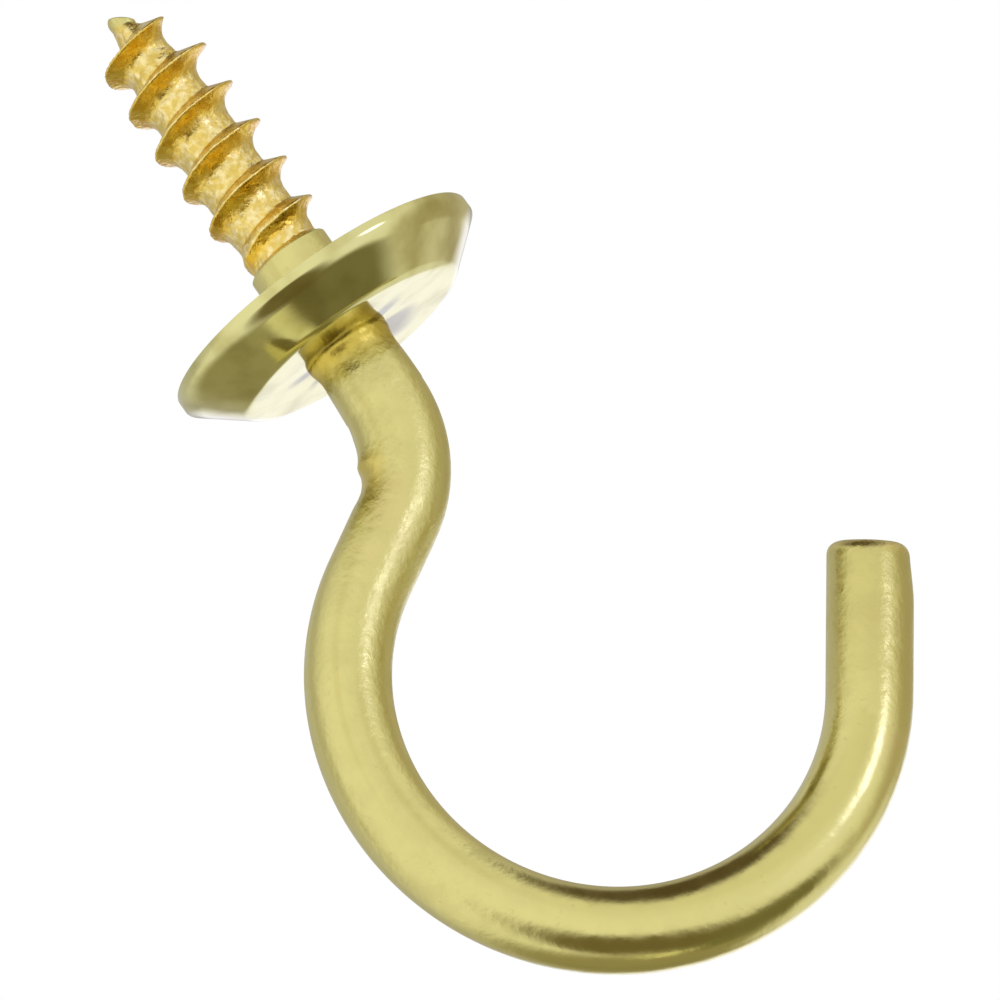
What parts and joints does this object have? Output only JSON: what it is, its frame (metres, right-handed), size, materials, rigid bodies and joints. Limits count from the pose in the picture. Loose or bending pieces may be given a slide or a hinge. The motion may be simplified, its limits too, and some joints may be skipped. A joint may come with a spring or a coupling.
{
  "type": "cup hook",
  "caption": "Brass cup hook: a wood-screw shank, a pressed dished collar and a round open hook bent from the same wire.",
  "frame": {"origin": "middle of the collar's rim, in the plane that seats against the board", "axes": "+Z out of the seat, up the screw into the board; the hook lies in the XZ plane and its mouth opens towards +X"},
  "size_m": [0.0254, 0.014, 0.0462],
  "materials": {
    "wire_brass": "bright dipped, satin",
    "collar_brass": "polished"
  },
  "bodies": {
    "root": {"hook_wire": "wire_brass", "collar": "collar_brass"}
  },
  "joints": []
}
